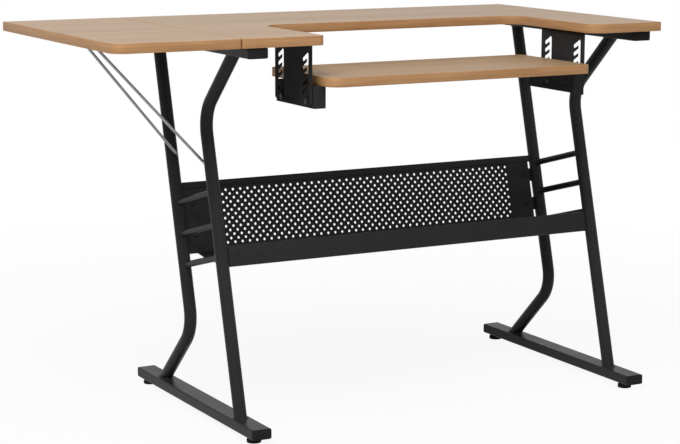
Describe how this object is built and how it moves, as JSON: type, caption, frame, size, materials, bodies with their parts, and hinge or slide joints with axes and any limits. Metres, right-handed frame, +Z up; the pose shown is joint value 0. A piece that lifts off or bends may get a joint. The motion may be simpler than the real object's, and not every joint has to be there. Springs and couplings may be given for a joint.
{
  "type": "sewing machine table",
  "caption": "Sewing table with wood-effect top, drop leaf on a wire prop, lift-up machine platform in a notch, perforated shelf and leaning black tube frames.",
  "frame": {"origin": "on the floor, under the middle of the table's bounding box", "axes": "+X along the table towards the machine side, +Y to the back, +Z up"},
  "size_m": [1.174, 0.597, 0.76],
  "materials": {
    "laminate_board": "satin wood-effect laminate",
    "edge_band": "satin wood-effect edge band",
    "black_steel": "satin black powder coat",
    "black_plastic": "matt moulded plastic",
    "chrome_wire": "bright plated wire",
    "zinc_steel": "zinc plated steel"
  },
  "bodies": {
    "end_frames_and_top": {"main_top": "laminate_board", "main_top_edge_band": "edge_band", "hanger_plate_left": "black_steel", "hanger_plate_right": "black_steel", "left_foot_tube": "black_steel", "right_foot_tube": "black_steel", "left_top_rail": "black_steel", "right_top_rail": "black_steel", "left_front_post": "black_steel", "left_rear_post": "black_steel", "right_front_post": "black_steel", "right_rear_post": "black_steel", "left_rungs": "black_steel", "right_rungs": "black_steel", "shelf_back_panel": "black_steel", "shelf_tray": "black_steel", "shelf_tabs": "black_steel", "shelf_screws": "black_steel", "foot_end_caps": "black_plastic", "rail_end_caps": "black_plastic", "bail_bushes": "black_plastic", "hanger_plate_screws": "zinc_steel", "top_rail_screws": "zinc_steel", "leveller_nuts": "zinc_steel", "leaf_hinge_fixed_plates": "zinc_steel", "leaf_hinge_pins": "zinc_steel", "leaf_hinge_fixed_screws": "zinc_steel"},
    "drop_leaf": {"drop_leaf": "laminate_board", "drop_leaf_edge_band": "edge_band", "leaf_hinge_moving_plates": "zinc_steel", "leaf_hinge_moving_screws": "zinc_steel", "bail_catch": "black_plastic", "bail_catch_screws": "zinc_steel"},
    "leaf_bail": {"leaf_bail": "chrome_wire"},
    "machine_platform": {"machine_platform": "laminate_board", "machine_platform_edge_band": "edge_band", "platform_bracket_left": "black_steel", "platform_bracket_right": "black_steel", "platform_bracket_screws": "zinc_steel", "platform_guide_pins": "black_steel"},
    "leveller_left_front": {"leveller_left_front": "black_plastic"},
    "leveller_left_rear": {"leveller_left_rear": "black_plastic"},
    "leveller_right_front": {"leveller_right_front": "black_plastic"},
    "leveller_right_rear": {"leveller_right_rear": "black_plastic"}
  },
  "joints": [
    {"name": "leaf_fold", "type": "hinge", "parent": "end_frames_and_top", "child": "drop_leaf", "pos_m": [-0.3395, 0, 0.7385], "axis": [0, -1, 0], "range_deg": [0, 90]},
    {"name": "bail_swing", "type": "hinge", "parent": "end_frames_and_top", "child": "leaf_bail", "pos_m": [-0.306, 0, 0.501], "axis": [0, -1, 0], "range_deg": [0, 129]},
    {"name": "platform_lift", "type": "slide", "parent": "end_frames_and_top", "child": "machine_platform", "axis": [0, 0, 1], "range_m": [0, 0.0775]},
    {"name": "leveller_left_front_screw_out", "type": "slide", "parent": "end_frames_and_top", "child": "leveller_left_front", "axis": [0, 0, -1], "range_m": [0, 0.008]},
    {"name": "leveller_left_rear_screw_out", "type": "slide", "parent": "end_frames_and_top", "child": "leveller_left_rear", "axis": [0, 0, -1], "range_m": [0, 0.008]},
    {"name": "leveller_right_front_screw_out", "type": "slide", "parent": "end_frames_and_top", "child": "leveller_right_front", "axis": [0, 0, -1], "range_m": [0, 0.008]},
    {"name": "leveller_right_rear_screw_out", "type": "slide", "parent": "end_frames_and_top", "child": "leveller_right_rear", "axis": [0, 0, -1], "range_m": [0, 0.008]}
  ],
  "couplings": [
    {"joint": "bail_swing", "follows": "leaf_fold", "ratio": 1.43}
  ]
}
